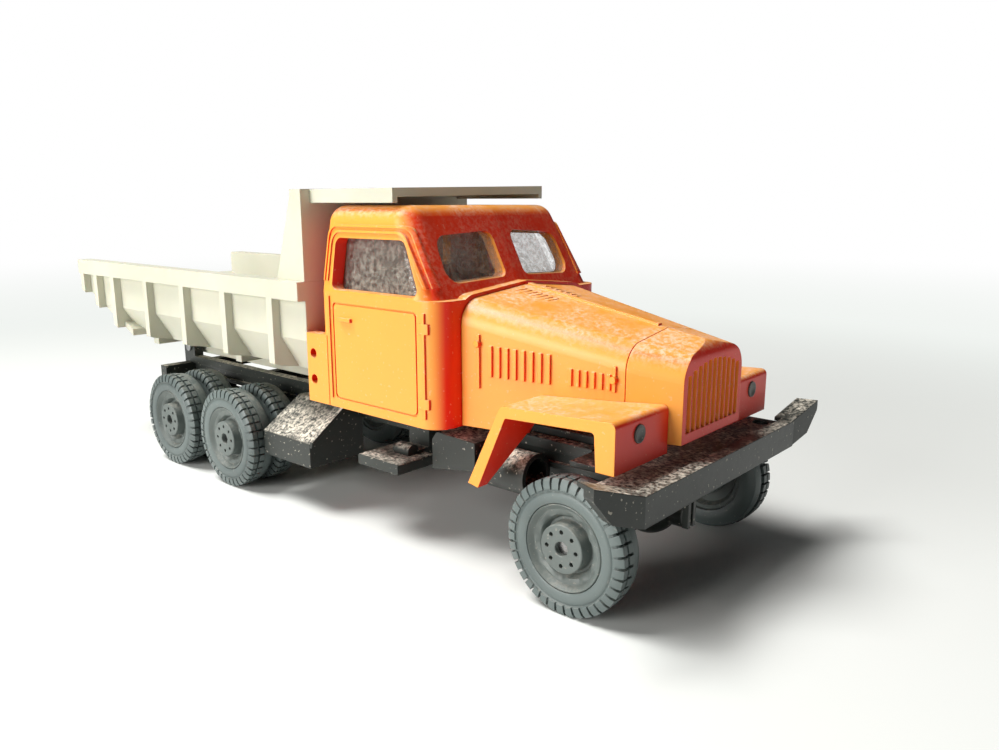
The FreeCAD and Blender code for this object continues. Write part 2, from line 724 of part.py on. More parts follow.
def bonnet():
    outer = hood_loft(0.0, -CAB_FRONT + SEAM, NOSE_LINE)
    inner = hood_loft(0.9, -CAB_FRONT + SEAM - 0.001, NOSE_LINE + 0.001)
    arch = side_prism([(-8.3, 11), (-6.4, FENDER_TOP - FENDER_T), (2.6, FENDER_TOP - FENDER_T + 0.3),
                       (2.6, 11)], -CAB_HALF, CAB_HALF)
    sides = []
    for piece in louvres():
        sides += both_sides(piece)
    return cut(join([outer.cut(inner)] + sides + hood_top_details()), [arch])


def nose():
    """Radiator shell with a tall slitted grille under a rounded top."""
    side = side_prism([
        (NOSE_LINE + SEAM, NOSE_LOW),
        (NOSE_FRONT, NOSE_LOW),
        (NOSE_FRONT, NOSE_TOP, 1.5),
        (NOSE_LINE + SEAM, BONNET_TOP - BONNET_FALL + 0.05),
    ], -NOSE_HALF - 1, NOSE_HALF + 1)
    shell = side.common(nose_loft(0.0, NOSE_LOW - 1))
    back = box(NOSE_LINE - 1, NOSE_FRONT - 1.4, -NOSE_FACE_HALF + 0.8, NOSE_FACE_HALF - 0.8,
               NOSE_LOW - 1, NOSE_TOP - 2.2)
    reach = NOSE_FACE_HALF - 0.9
    pitch = 2 * reach / (GRILLE_SLITS - 1)
    wide = pitch / 2.0 - GRILLE_FIN / 2.0
    slits = []
    for i in range(GRILLE_SLITS):
        y = -reach + pitch * i
        high = NOSE_TOP - 1.3 - 0.05 * y * y
        slits.append(front_prism([(y - wide, NOSE_LOW + 0.8), (y + wide, NOSE_LOW + 0.8),
                                  (y + wide, high, 0.15), (y - wide, high, 0.15)],
                                 NOSE_FRONT - 0.3, NOSE_FRONT + 1))
    return cut(shell, [back] + slits)


def fender():
    """Right wing: flat top, boxed front with the lamp, and a slanting rear leg."""
    low = BUMPER_LOW + BUMPER_H + 0.7
    under = FENDER_TOP - FENDER_T
    rows = [
        (FENDER_FRONT, low),
        (FENDER_FRONT, FENDER_TOP, 0.5),
        (-6.3, FENDER_TOP - 0.5, 0.5),
        (-9.8, 8.5),
        (-8.7, 8.3),
        (-5.8, under - 0.5, 0.3),
        (2.6, under - 0.1, 0.3),
        (2.8, low),
    ]
    band = side_prism(rows, -FENDER_OUT, -NOSE_FACE_HALF)
    taper = front_prism([(-FENDER_OUT + 0.9, 8.0), (-NOSE_FACE_HALF, 8.0), (-NOSE_FACE_HALF, 14.2),
                         (-7.4, 14.2)], -12.0, -3.0)
    hug = hood_loft(-SEAM, -CAB_FRONT + SEAM, NOSE_LINE + 0.01)
    socket = rod_x(-LAMP_Y, LAMP_Z, LAMP_R + 0.02, FENDER_FRONT - 0.5, FENDER_FRONT + 1)
    return cut(band, [taper, hug, nose_loft(SEAM, 8), socket])


def lamp():
    """Headlight insert with a shallow dish."""
    body = rod_x(-LAMP_Y, LAMP_Z, LAMP_R, FENDER_FRONT - 0.5, FENDER_FRONT + 0.12)
    dish = Part.makeSphere(1.3, V(FENDER_FRONT + 1.25, -LAMP_Y, LAMP_Z))
    return cut(body, [dish])


# ---- tipping body
def bed_side():
    """Right wall of the body: upright plate, inward slope, rim rail and ribs."""
    wall_out = -BED_HALF
    floor_top = BED_FLOOR_LOW + BED_FLOOR_T
    rows = [
        (-FLOOR_HALF, BED_FLOOR_LOW),
        (wall_out, CREASE_Z),
        (wall_out, BED_RIM_Z),
        (wall_out + BED_WALL, BED_RIM_Z),
        (wall_out + BED_WALL, CREASE_Z + 0.25),
        (-FLOOR_HALF + 0.6, floor_top),
        (-FLOOR_HALF + 0.6, BED_FLOOR_LOW),
    ]
    wall = front_prism(rows, TAIL_X, HEAD_X)
    rail = box(TAIL_X, HEAD_X, wall_out - RAIL_OUTSTAND, wall_out + 0.01, BED_RIM_Z - RAIL_H, BED_RIM_Z)
    return [wall, rail]


def rib_places():
    first = HEAD_X - FIRST_RIB
    count = max(2, int(round((first - KINK_X) / RIB_PITCH)) + 1)
    pitch = (first - KINK_X + 2.6) / (count - 1)
    places = [first - pitch * i for i in range(count)]
    tail = places[-1]
    places.append(tail - (tail - TAIL_X) * 0.5)
    places.append(tail - (tail - TAIL_X) * 0.9)
    return places


def ribs():
    pieces = []
    out = -BED_HALF - RAIL_OUTSTAND
    for x in rib_places():
        rows = [
            (out, BED_RIM_Z - 0.5),
            (out, BED_FLOOR_LOW + 0.7),
            (out + 0.45, BED_FLOOR_LOW + 0.5),
            (-FLOOR_HALF, BED_FLOOR_LOW + 0.05),
            (-FLOOR_HALF, BED_RIM_Z - 3.0),
            (-BED_HALF + 0.3, BED_RIM_Z - 0.5),
        ]
        pieces.append(front_prism(rows, x - RIB_W / 2, x + RIB_W / 2))
    return pieces


def bed_tub():
    floor_top = BED_FLOOR_LOW + BED_FLOOR_T
    floor = box(KINK_X, HEAD_X, -FLOOR_HALF, FLOOR_HALF, BED_FLOOR_LOW, floor_top)
    ramp = side_prism([(KINK_X, BED_FLOOR_LOW), (TAIL_X, BED_FLOOR_LOW + TAIL_RISE),
                       (TAIL_X, floor_top + TAIL_RISE), (KINK_X, floor_top)],
                      -BED_HALF + 0.1, BED_HALF - 0.1)
    under = side_prism([(KINK_X, BED_FLOOR_LOW), (KINK_X, 0), (TAIL_X - 5, 0),
                        (TAIL_X - 5, BED_FLOOR_LOW + TAIL_RISE * 1.4), (TAIL_X, BED_FLOOR_LOW + TAIL_RISE)],
                       -20, 20)
    front_wall = box(HEAD_X - BED_WALL, HEAD_X, -BED_HALF, BED_HALF, BED_FLOOR_LOW, BED_RIM_Z)
    front_wall = front_wall.common(front_prism([(-FLOOR_HALF, BED_FLOOR_LOW), (FLOOR_HALF, BED_FLOOR_LOW),
                                                (BED_HALF, CREASE_Z), (BED_HALF, BED_RIM_Z),
                                                (-BED_HALF, BED_RIM_Z), (-BED_HALF, CREASE_Z)],
                                               HEAD_X - 2, HEAD_X + 1))
    rows = [
        (-FLOOR_HALF + 0.6, floor_top),
        (FLOOR_HALF - 0.6, floor_top),
        (BED_HALF - BED_WALL, CREASE_Z + 0.25),
        (BED_HALF - BED_WALL, 40),
        (-BED_HALF + BED_WALL, 40),
        (-BED_HALF + BED_WALL, CREASE_Z + 0.25),
    ]
    room = front_prism(rows, TAIL_X - 1, HEAD_X - BED_WALL)
    sides = []
    for piece in bed_side() + ribs():
        sides += both_sides(piece.cut(room))
    shell = join(sides + [floor, front_wall])
    return join([shell.cut(under), ramp])


def headboard():
    """Upright board behind the cab with side gussets and the canopy over the roof."""
    base = BED_RIM_Z
    half = BED_HALF
    top = CANOPY_LOW + CANOPY_T
    rear = HEAD_X - 1.8
    front = HEAD_X + CANOPY_REACH
    board = front_prism([(-half, base), (half, base), (half, CANOPY_LOW + CANOPY_TWIST),
                         (-half, CANOPY_LOW)], HEAD_X - BED_WALL, HEAD_X)
    roof = front_prism([(-CANOPY_HALF, CANOPY_LOW), (CANOPY_HALF, CANOPY_LOW + CANOPY_TWIST),
                        (CANOPY_HALF, top + CANOPY_TWIST), (-CANOPY_HALF, top)], HEAD_X, front)
    cap = front_prism([(-half, CANOPY_LOW), (half, CANOPY_LOW + CANOPY_TWIST),
                       (half, top + CANOPY_TWIST), (-half, top)], rear, HEAD_X)
    gusset = side_prism([(HEAD_X, base), (HEAD_X, CANOPY_LOW + 0.1),
                         (rear, CANOPY_LOW + 0.1), (HEAD_X - 4.6, base)],
                        -half, -half + BED_WALL)
    lip = box(HEAD_X - 0.1, front, -CANOPY_HALF, -CANOPY_HALF + 0.6, CANOPY_LOW - CANOPY_LIP,
              CANOPY_LOW + 0.1)
    far_lip = other_side(lip)
    far_lip.translate(V(0, 0, CANOPY_TWIST))
    far_gusset = other_side(gusset)
    stretch = side_prism([(HEAD_X, CANOPY_LOW), (HEAD_X, CANOPY_LOW + CANOPY_TWIST + 0.1),
                          (rear, CANOPY_LOW + CANOPY_TWIST + 0.1), (rear, CANOPY_LOW)],
                         half - BED_WALL, half)
    return join([board, roof, cap, lip, far_lip, gusset, far_gusset, stretch])


def bed_subframe():
    """Two beams under the floor, a rear cross beam, and the pivot's bosses."""
    low = RAIL_TOP + BED_SEAT
    inner = BEAM_OUT - BEAM_T
    beam = box(PIVOT_X, HEAD_X - 2.0, inner, BEAM_OUT, low, BED_FLOOR_LOW)
    boss = rod_y(PIVOT_X, PIVOT_Z, PIVOT_Z - low, inner, BEAM_OUT)
    cheek = box(PIVOT_X - 1.0, PIVOT_X + 1.0, inner, BEAM_OUT, PIVOT_Z, BED_FLOOR_LOW)
    cross = box(PIVOT_X - 3.2, PIVOT_X - 1.9, -9.0, 9.0, BED_FLOOR_LOW - 1.3, BED_FLOOR_LOW)
    tie = box(PIVOT_X - 2.4, PIVOT_X - 0.5, inner, BEAM_OUT, BED_FLOOR_LOW - 0.8, BED_FLOOR_LOW)
    pieces = both_sides(beam) + both_sides(boss) + both_sides(cheek) + both_sides(tie) + [cross]
    for x in (HEAD_X - 2.6, (HEAD_X + PIVOT_X) / 2.0):
        pieces.append(box(x - 0.6, x + 0.6, -9.0, 9.0, BED_FLOOR_LOW - 1.2, BED_FLOOR_LOW))
    hole = rod_y(PIVOT_X, PIVOT_Z, PIVOT_R + BORE_CLEAR, -RAIL_OUT, RAIL_OUT)
    return cut(join(pieces), [hole])


def pivot_pin():
    return rod_y(PIVOT_X, PIVOT_Z, PIVOT_R, -RAIL_OUT - 0.2, RAIL_OUT + 0.2)


def build():
    nodes = {}
    front_wheels(nodes)
    rear_wheels(nodes, "mid", MID_X)
    rear_wheels(nodes, "rear", REAR_X)
    nodes["front_suspension"] = front_suspension()
    nodes["bogie_suspension"] = bogie_suspension()
    nodes["chassis_frame"] = frame()
    nodes["front_bumper"] = bumper()
    nodes["tow_pins"] = tow_pins()
    nodes["gearbox"] = gearbox()
    nodes["side_block_right"] = side_block()
    nodes["air_tank_right"] = air_tank()
    nodes["step_right"] = step()
    nodes["step_left"] = other_side(step())
    nodes["tool_box_right"] = tool_box()
    nodes["tool_box_left"] = other_side(tool_box())
    nodes["pivot_pin"] = pivot_pin()
    nodes["cab_shell"] = cab()
    nodes["cab_glazing"] = glazing()
    nodes["cab_interior"] = cab_interior()
    nodes["bonnet"] = bonnet()
    nodes["radiator_shell"] = nose()
    nodes["fender_right"] = fender()
    nodes["fender_left"] = other_side(fender())
    nodes["headlight_right"] = lamp()
    nodes["headlight_left"] = other_side(lamp())
    nodes["bed_tub"] = bed_tub()
    nodes["bed_headboard"] = headboard()
    nodes["bed_subframe"] = bed_subframe()
    return nodes


os.makedirs("parts", exist_ok=True)
for name, shape in build().items():
    shape.translate(V(-MIDDLE_X, 0, -GROUND_Z))
    shape.exportStep("parts/" + name + ".step")
    print(name, len(shape.Solids), round(shape.Volume, 3), shape.isValid())
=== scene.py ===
import json
import math

import bmesh
import bpy
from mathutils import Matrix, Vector
from mathutils import noise as bump_noise


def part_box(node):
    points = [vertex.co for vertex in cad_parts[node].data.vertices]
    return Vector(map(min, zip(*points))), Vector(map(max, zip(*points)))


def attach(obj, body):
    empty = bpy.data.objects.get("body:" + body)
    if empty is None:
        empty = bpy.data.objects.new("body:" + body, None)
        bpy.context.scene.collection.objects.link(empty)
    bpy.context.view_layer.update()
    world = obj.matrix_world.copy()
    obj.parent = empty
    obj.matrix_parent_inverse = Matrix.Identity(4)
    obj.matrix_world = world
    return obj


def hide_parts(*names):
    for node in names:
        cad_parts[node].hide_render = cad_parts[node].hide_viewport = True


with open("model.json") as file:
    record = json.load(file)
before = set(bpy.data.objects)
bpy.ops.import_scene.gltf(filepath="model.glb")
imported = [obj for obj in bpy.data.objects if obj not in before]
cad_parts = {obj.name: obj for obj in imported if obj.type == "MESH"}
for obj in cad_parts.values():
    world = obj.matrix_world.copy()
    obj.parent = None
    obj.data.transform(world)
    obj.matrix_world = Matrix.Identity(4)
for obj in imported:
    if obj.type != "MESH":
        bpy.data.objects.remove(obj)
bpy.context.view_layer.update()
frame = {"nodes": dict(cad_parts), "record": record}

MM = 0.001

CAMERA_LENS = 29.19       # focal length, millimetres
CAMERA_TURN = 41.0        # view's turn from straight across towards the truck's rear, degrees
CAMERA_DROP = 12.0        # how far the view looks down, degrees
CAMERA_AHEAD = 0.03408    # camera ahead of the front axle, metres
CAMERA_SIDE = -0.0593
CAMERA_HEIGHT = 0.0312
LAMP_AIM = (0.0, 0.0, 0.01)
SKY_LEVEL = 0.045         # light that the white surroundings give the truck
TABLE_HALF = 1.5


# ---------------------------------------------------------------- places read from the frame
def middle(node):
    low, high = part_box(node)
    return [(a + b) / 2 for a, b in zip(low, high)]


front_axle = middle("front_axle_pin")


# ---------------------------------------------------------------- shader helpers
def link(tree, a, b):
    tree.links.new(a, b)


def new_group(name, inputs, outputs):
    tree = bpy.data.node_groups.new(name, "ShaderNodeTree")
    for label, kind, value in inputs:
        socket = tree.interface.new_socket(label, in_out="INPUT", socket_type=kind)
        socket.default_value = value
    for label, kind in outputs:
        tree.interface.new_socket(label, in_out="OUTPUT", socket_type=kind)
    return tree, tree.nodes.new("NodeGroupInput"), tree.nodes.new("NodeGroupOutput")


def noise(tree, vector, scale, detail=4.0, rough=0.6):
    node = tree.nodes.new("ShaderNodeTexNoise")
    node.inputs["Scale"].default_value = scale
    node.inputs["Detail"].default_value = detail
    node.inputs["Roughness"].default_value = rough
    link(tree, vector, node.inputs["Vector"])
    return node.outputs["Fac"]


def ramp(tree, value, low, high):
    node = tree.nodes.new("ShaderNodeMapRange")
    node.interpolation_type = "SMOOTHSTEP"
    node.inputs["From Min"].default_value = low
    node.inputs["From Max"].default_value = high
    link(tree, value, node.inputs["Value"])
    return node.outputs["Result"]


def math_node(tree, kind, a, b=None):
    node = tree.nodes.new("ShaderNodeMath")
    node.operation = kind
    for i, item in enumerate((a, b)):
        if isinstance(item, (int, float)):
            node.inputs[i].default_value = item
        elif item is not None:
            link(tree, item, node.inputs[i])
    return node.outputs[0]


def mix_colour(tree, share, first, second):
    """Mix two colours, each a socket or a plain colour."""
    node = tree.nodes.new("ShaderNodeMix")
    node.data_type = "RGBA"
    link(tree, share, node.inputs["Factor"])
    for label, item in (("A", first), ("B", second)):
        if isinstance(item, tuple):
            node.inputs[label].default_value = (*item, 1)
        else:
            link(tree, item, node.inputs[label])
    return node.outputs["Result"]


def dust_group():
    """Fine household dust: thick on faces that look up, specks everywhere."""
    tree, source, sink = new_group(
        "settled_dust",
        [("Amount", "NodeSocketFloat", 0.5), ("Speck", "NodeSocketFloat", 0.3)],
        [("Mask", "NodeSocketFloat"), ("Height", "NodeSocketFloat")],
    )
    place = tree.nodes.new("ShaderNodeTexCoord").outputs["Object"]
    facing = tree.nodes.new("ShaderNodeNewGeometry").outputs["Normal"]
    split = tree.nodes.new("ShaderNodeSeparateXYZ")
    link(tree, facing, split.inputs[0])
    up = ramp(tree, split.outputs["Z"], 0.2, 0.9)
    cloud = ramp(tree, noise(tree, place, 210, 5.0, 0.65), 0.30, 0.62)
    grain = ramp(tree, noise(tree, place, 2600, 3.0, 0.7), 0.36, 0.66)
    layer = math_node(tree, "MULTIPLY", up, math_node(tree, "MULTIPLY", cloud, grain))
    layer = math_node(tree, "MULTIPLY", layer, source.outputs["Amount"])
    speck = ramp(tree, noise(tree, place, 3100, 1.0, 0.5), 0.68, 0.75)
    speck = math_node(tree, "MULTIPLY", speck, source.outputs["Speck"])
    both = math_node(tree, "MAXIMUM", layer, speck)
    link(tree, both, sink.inputs["Mask"])
    link(tree, both, sink.inputs["Height"])
    return tree


def mottle_group():
    """Slow change of tone in moulded plastic, and a fine grain for its surface."""
    tree, source, sink = new_group(
        "moulded_tone",
        [("Low", "NodeSocketColor", (0, 0, 0, 1)), ("High", "NodeSocketColor", (1, 1, 1, 1)),
         ("Scale", "NodeSocketFloat", 120.0)],
        [("Color", "NodeSocketColor"), ("Grain", "NodeSocketFloat")],
    )
    place = tree.nodes.new("ShaderNodeTexCoord").outputs["Object"]
    slow = tree.nodes.new("ShaderNodeTexNoise")
    link(tree, place, slow.inputs["Vector"])
    link(tree, source.outputs["Scale"], slow.inputs["Scale"])
    slow.inputs["Detail"].default_value = 3.0
    tone = ramp(tree, slow.outputs["Fac"], 0.3, 0.7)
    link(tree, mix_colour(tree, tone, source.outputs["Low"], source.outputs["High"]), sink.inputs["Color"])
    link(tree, noise(tree, place, 1500, 4.0, 0.6), sink.inputs["Grain"])
    return tree


def painted_light_group():
    """Painted light on the orange: paler on broad sides and tops, less so at the ends and underneath,
    where the deep red stays as painted shade.
    """
    tree, source, sink = new_group(
        "painted_lit_faces",
        [("Normal", "NodeSocketVector", (0, 0, 1)), ("Patchy", "NodeSocketFloat", 0.1)],
        [("Mask", "NodeSocketFloat")],
    )
    split = tree.nodes.new("ShaderNodeSeparateXYZ")
    link(tree, source.outputs["Normal"], split.inputs[0])
    # painted light: faces turned to either side or upward get the paler lit colour
    across = ramp(tree, math_node(tree, "ABSOLUTE", split.outputs["Y"]), 0.30, 0.95)
    above = ramp(tree, split.outputs["Z"], 0.35, 0.97)
    mask = math_node(tree, "MAXIMUM", across, above)
    place = tree.nodes.new("ShaderNodeTexCoord").outputs["Object"]
    patch = math_node(tree, "MULTIPLY", noise(tree, place, 90, 3.0, 0.6), source.outputs["Patchy"])
    link(tree, math_node(tree, "SUBTRACT", mask, patch), sink.inputs["Mask"])
    return tree


dust = dust_group()
mottle = mottle_group()
painted_light = painted_light_group()


def place_group(tree, group, values):
    node = tree.nodes.new("ShaderNodeGroup")
    node.node_tree = group
    for label, value in values.items():
        node.inputs[label].default_value = value
    return node


def plastic(name, low, high, rough, dust_colour, amount, speck, bump=0.1, edge=0.12, under=0.0,
            lit_colour=None):
    """Moulded plastic: two close tones, soft rounded edges, fine bump and dust, and where given a paler
    painted-light colour on faces turned to the sides and up.
    """
    material = bpy.data.materials.new(name)
    material.use_nodes = True
    tree = material.node_tree
    shader = tree.nodes["Principled BSDF"]
    soft = tree.nodes.new("ShaderNodeBevel")
    soft.samples = 6
    soft.inputs["Radius"].default_value = edge * MM
    tone = place_group(tree, mottle, {"Low": (*low, 1), "High": (*high, 1), "Scale": 120.0})
    film = place_group(tree, dust, {"Amount": amount, "Speck": speck})
    colour = tone.outputs["Color"]
    # painted light: paler lit colour on faces turned to the sides and up; the deeper colour left at the
    # ends and underneath is painted shade
    if lit_colour:
        lit_share = place_group(tree, painted_light, {"Patchy": 0.12})
        link(tree, soft.outputs["Normal"], lit_share.inputs["Normal"])
        colour = mix_colour(tree, lit_share.outputs["Mask"], colour, lit_colour)
    colour = mix_colour(tree, film.outputs["Mask"], colour, dust_colour)
    link(tree, colour, shader.inputs["Base Color"])
    span = tree.nodes.new("ShaderNodeMapRange")
    span.inputs["To Min"].default_value = rough
    span.inputs["To Max"].default_value = 0.9
    link(tree, film.outputs["Mask"], span.inputs["Value"])
    wear = tree.nodes.new("ShaderNodeMath")
    wear.operation = "MULTIPLY_ADD"
    wear.inputs[1].default_value = 0.12
    link(tree, tone.outputs["Grain"], wear.inputs[0])
    link(tree, span.outputs["Result"], wear.inputs[2])
    link(tree, wear.outputs[0], shader.inputs["Roughness"])
    rise = tree.nodes.new("ShaderNodeBump")
    rise.inputs["Strength"].default_value = bump
    rise.inputs["Distance"].default_value = 0.05 * MM
    height = math_node(tree, "ADD", tone.outputs["Grain"], film.outputs["Height"])
    link(tree, height, rise.inputs["Height"])
    link(tree, soft.outputs["Normal"], rise.inputs["Normal"])
    link(tree, rise.outputs["Normal"], shader.inputs["Normal"])
    if under:
        shader.inputs["Subsurface Weight"].default_value = under
        shader.inputs["Subsurface Radius"].default_value = (1.0, 0.35, 0.1)
        shader.inputs["Subsurface Scale"].default_value = 0.5 * MM
    return material


# orange: one plastic shown twice, as a deep red of painted shade and a paler orange of painted light,
# chosen by which way each face turns
orange = plastic("orange_plastic", (0.80, 0.016, 0.0015), (0.88, 0.028, 0.002), 0.30,
                 (0.90, 0.62, 0.46), 0.75, 0.22, under=0.08, lit_colour=(0.93, 0.38, 0.05))
beige = plastic("stone_plastic", (0.56, 0.555, 0.45), (0.62, 0.610, 0.50), 0.45,
                (0.68, 0.66, 0.58), 0.4, 0.12, under=0.1)
black = plastic("black_plastic", (0.016, 0.020, 0.017), (0.025, 0.029, 0.025), 0.34,
                (0.80, 0.74, 0.62), 1.0, 0.4, bump=0.25)
# tyre and rim base colours are lifted from black to a dark grey: partly a film of dust, partly painted
# sheen standing in for the glossy reflection of the bright room
tyre_dust_and_sheen = plastic("tyre_plastic", (0.085, 0.108, 0.106), (0.125, 0.155, 0.150), 0.36,
                     (0.34, 0.33, 0.29), 0.5, 0.30, bump=0.3, edge=0.06)
rim_dust_and_sheen = plastic("rim_plastic", (0.095, 0.114, 0.107), (0.135, 0.158, 0.149), 0.38,
                    (0.36, 0.34, 0.29), 0.55, 0.45, bump=0.2, edge=0.06)
inner_black = plastic("interior_plastic", (0.015, 0.013, 0.012), (0.025, 0.022, 0.02), 0.6,
                      (0.2, 0.19, 0.17), 0.4, 0.3)
lamp_grey = plastic("lamp_plastic", (0.10, 0.10, 0.095), (0.14, 0.14, 0.13), 0.3,
                    (0.4, 0.38, 0.33), 0.4, 0.4)


def steel():
    """Bright metal pin, faintly mottled."""
    material = bpy.data.materials.new("pin_steel")
    material.use_nodes = True
    tree = material.node_tree
    shader = tree.nodes["Principled BSDF"]
    tones = {"Low": (0.25, 0.25, 0.25, 1), "High": (0.4, 0.4, 0.4, 1), "Scale": 900.0}
    tone = place_group(tree, mottle, tones)
    link(tree, tone.outputs["Color"], shader.inputs["Base Color"])
    shader.inputs["Metallic"].default_value = 1.0
    link(tree, ramp(tree, tone.outputs["Grain"], -0.4, 2.2), shader.inputs["Roughness"])
    return material


def clear_glazing():
    """Clear moulding with a thin, patchy film of dust and many fine specks."""
    material = bpy.data.materials.new("clear_glazing")
    material.use_nodes = True
    tree = material.node_tree
    shader = tree.nodes["Principled BSDF"]
    film = place_group(tree, dust, {"Amount": 0.8, "Speck": 0.9})
    place = tree.nodes.new("ShaderNodeTexCoord").outputs["Object"]
    haze = ramp(tree, noise(tree, place, 1900, 5.0, 0.75), 0.38, 0.66)
    link(tree, mix_colour(tree, haze, (0.46, 0.44, 0.39), (0.66, 0.62, 0.54)), shader.inputs["Base Color"])
    alpha = tree.nodes.new("ShaderNodeMath")
    alpha.operation = "MULTIPLY_ADD"
    alpha.inputs[1].default_value = 0.28
    alpha.inputs[2].default_value = 0.07
    link(tree, math_node(tree, "MAXIMUM", film.outputs["Mask"], haze), alpha.inputs[0])
    link(tree, alpha.outputs[0], shader.inputs["Alpha"])
    shader.inputs["Roughness"].default_value = 0.12
    return material


pin_steel = steel()
clear = clear_glazing()

finish_of_slot = {
    "cab_orange": orange,
    "bed_beige": beige,
    "chassis_black": black,
    "tyre": tyre_dust_and_sheen,
    "rim": rim_dust_and_sheen,
    "axle_pin": pin_steel,
    "glazing": clear,
    "interior": inner_black,
    "lamp": lamp_grey,
}
for entry in frame["record"]["subparts"]:
    node = frame["nodes"][entry["node"]]
    node.data.materials.clear()
    node.data.materials.append(finish_of_slot[entry["material_slot"]])


# ---------------------------------------------------------------- wheels
class WheelPlace:
    """Where one wheel piece sits: its axle line, its outer face and its direction inward."""

    def __init__(self, node):
        low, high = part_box(node)
        self.x = (low[0] + high[0]) / 2
        self.z = (low[2] + high[2]) / 2
        self.width = high[1] - low[1]
        self.radius = (high[2] - low[2]) / 2
        self.right = low[1] < 0
        self.face = low[1] if self.right else high[1]
        self.inward = 1 if self.right else -1

    def point(self, radius, deep, turn=0.0):
        return Vector((self.x + radius * math.cos(turn), self.face + self.inward * deep,
                       self.z + radius * math.sin(turn)))

    def measure(self, spot):
        """Radius, depth from the outer face, and turn of a point."""
        across, rise = spot.x - self.x, spot.z - self.z
        return math.hypot(across, rise), (spot.y - self.face) * self.inward, math.atan2(rise, across)


def revolve(shape, place, rows, steps):
    """Spin a closed outline of (radius, deep) rows, in millimetres, about the axle line."""
    points = [shape.verts.new(place.point(radius * MM, deep * MM)) for radius, deep in rows]
    edges = [shape.edges.new((points[i - 1], points[i])) for i in range(len(points))]
    bmesh.ops.spin(shape, geom=points + edges, cent=place.point(0, 0), axis=(0, 1, 0),
                   angle=2 * math.pi, steps=steps, use_merge=True)
    bmesh.ops.remove_doubles(shape, verts=shape.verts, dist=0.001 * MM)
    bmesh.ops.recalc_face_normals(shape, faces=shape.faces)


def finish_wheel_piece(shape, name, node, body, slot):
    """Turn the bmesh into a piece that stands for its CAD node."""
    bmesh.ops.recalc_face_normals(shape, faces=shape.faces)
    mesh = bpy.data.meshes.new(name)
    shape.to_mesh(mesh)
    shape.free()
    mesh.shade_smooth()
    mesh.set_sharp_from_angle(angle=math.radians(32))
    mesh.materials.append(finish_of_slot[slot])
    piece = bpy.data.objects.new(name, mesh)
    bpy.context.scene.collection.objects.link(piece)
    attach(piece, body)
    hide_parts(node)


LUGS = 38
LUG_COLUMNS = 4           # three under each lug and one for the gap
LUG_RISE = 0.32
TREAD_BASE = 0.34         # tread's floor below the tyre's full radius


def tyre_rows(radius, width, seat):
    """Outline of a tyre from its bead, over the sidewall and tread, to the inner bead."""
    base = radius - TREAD_BASE
    return [
        (seat, 0.34), (seat + 0.06, 0.18), (seat + 0.22, 0.12), (seat + 0.75, 0.10),
        (seat + 0.90, 0.15), (seat + 0.98, 0.22), (seat + 1.10, 0.17), (base - 0.18, 0.24),
        (base, 0.42), (base, 0.80), (base - 0.04, 0.86), (base - 0.04, 0.96), (base, 1.02),
        (base, 1.58), (base - 0.05, 1.68), (base + 0.14, 1.80), (base + 0.18, width - 0.75),
        (base, width - 0.35), (base - 0.5, width - 0.1), (seat + 0.7, width - 0.02),
        (seat + 0.1, width - 0.12), (seat, width - 0.34),
    ]


def tyre(name, node, body, seat):
    """One tyre, with its lugs drawn out of the tread and the shoulder."""
    place = WheelPlace(node)
    radius, width = place.radius / MM, place.width / MM
    base = radius - TREAD_BASE
    shape = bmesh.new()
    steps = LUGS * LUG_COLUMNS
    revolve(shape, place, tyre_rows(radius, width, seat), steps)
    lugs = []
    for face in shape.faces:
        out, deep, turn = place.measure(face.calc_center_median())
        column = int((turn / (2 * math.pi)) * steps + steps) % LUG_COLUMNS
        shoulder = out > (seat + 1.12) * MM and 0.17 * MM < deep < 0.81 * MM
        centre = out > (base - 0.1) * MM and 1.01 * MM < deep < 1.60 * MM
        if column < LUG_COLUMNS - 1 and (shoulder or centre):
            lugs.append(face)
    raised = bmesh.ops.extrude_face_region(shape, geom=lugs)["geom"]
    bmesh.ops.delete(shape, geom=lugs, context="FACES_ONLY")
    for spot in raised:
        if not isinstance(spot, bmesh.types.BMVert):
            continue
        out, deep, turn = place.measure(spot.co)
        share = min(1.0, max(0.15, (out / MM - seat - 1.1) / (base - seat - 1.1)))
        side = 0.13 * MM if deep < 0.5 * MM else 0.0
        spot.co = place.point(out + LUG_RISE * MM * share, deep - side, turn)
    finish_wheel_piece(shape, name, node, body, "tyre")


RIM_STEPS = 64
HOLE_RING = 1.365
HOLE_R = 0.19
HOLES = 8


def rim_rows(seat, width, pin):
    """Outline of a rim: hub boss, dish, flange and the barrel behind them."""
    return [
        (pin + 0.02, 0.50), (0.58, 0.48), (0.58, 0.05), (0.63, 0.0), (HOLE_RING - HOLE_R, 0.0),
        (HOLE_RING, 0.0), (HOLE_RING + HOLE_R, 0.0), (1.88, 0.0), (1.95, 0.06), (1.95, 1.00),
        (2.06, 1.18), (2.26, 1.20), (2.40, 0.88), (2.55, 0.66), (2.72, 0.60), (2.88, 0.55),
        (3.02, 0.56), (3.20, 0.40), (3.34, 0.22), (3.43, 0.15), (seat, 0.24),
        (seat, width - 0.34), (3.15, width - 0.34), (2.85, width - 0.9), (1.95, width - 0.9),
        (1.95, width), (pin + 0.02, width),
    ]


def stud_holes(shape, place):
    """Open each ring of eight vertices round a stud hole into a small round well."""
    pitch = 2 * math.pi / RIM_STEPS
    wells = []
    for i in range(HOLES):
        turn = pitch * round(i * RIM_STEPS / HOLES)
        centre = place.point(HOLE_RING * MM, 0, turn)
        hub = min(shape.verts, key=lambda v: (v.co - centre).length)
        near = {v for face in hub.link_faces for v in face.verts if v is not hub}
        for v in near:
            away = (v.co - centre).normalized()
            v.co = centre + away * HOLE_R * MM
        wells += list(hub.link_faces)
    sunk = bmesh.ops.extrude_face_region(shape, geom=wells)["geom"]
    bmesh.ops.delete(shape, geom=wells, context="FACES_ONLY")
    for spot in sunk:
        if isinstance(spot, bmesh.types.BMVert):
            spot.co.y += place.inward * 0.4 * MM


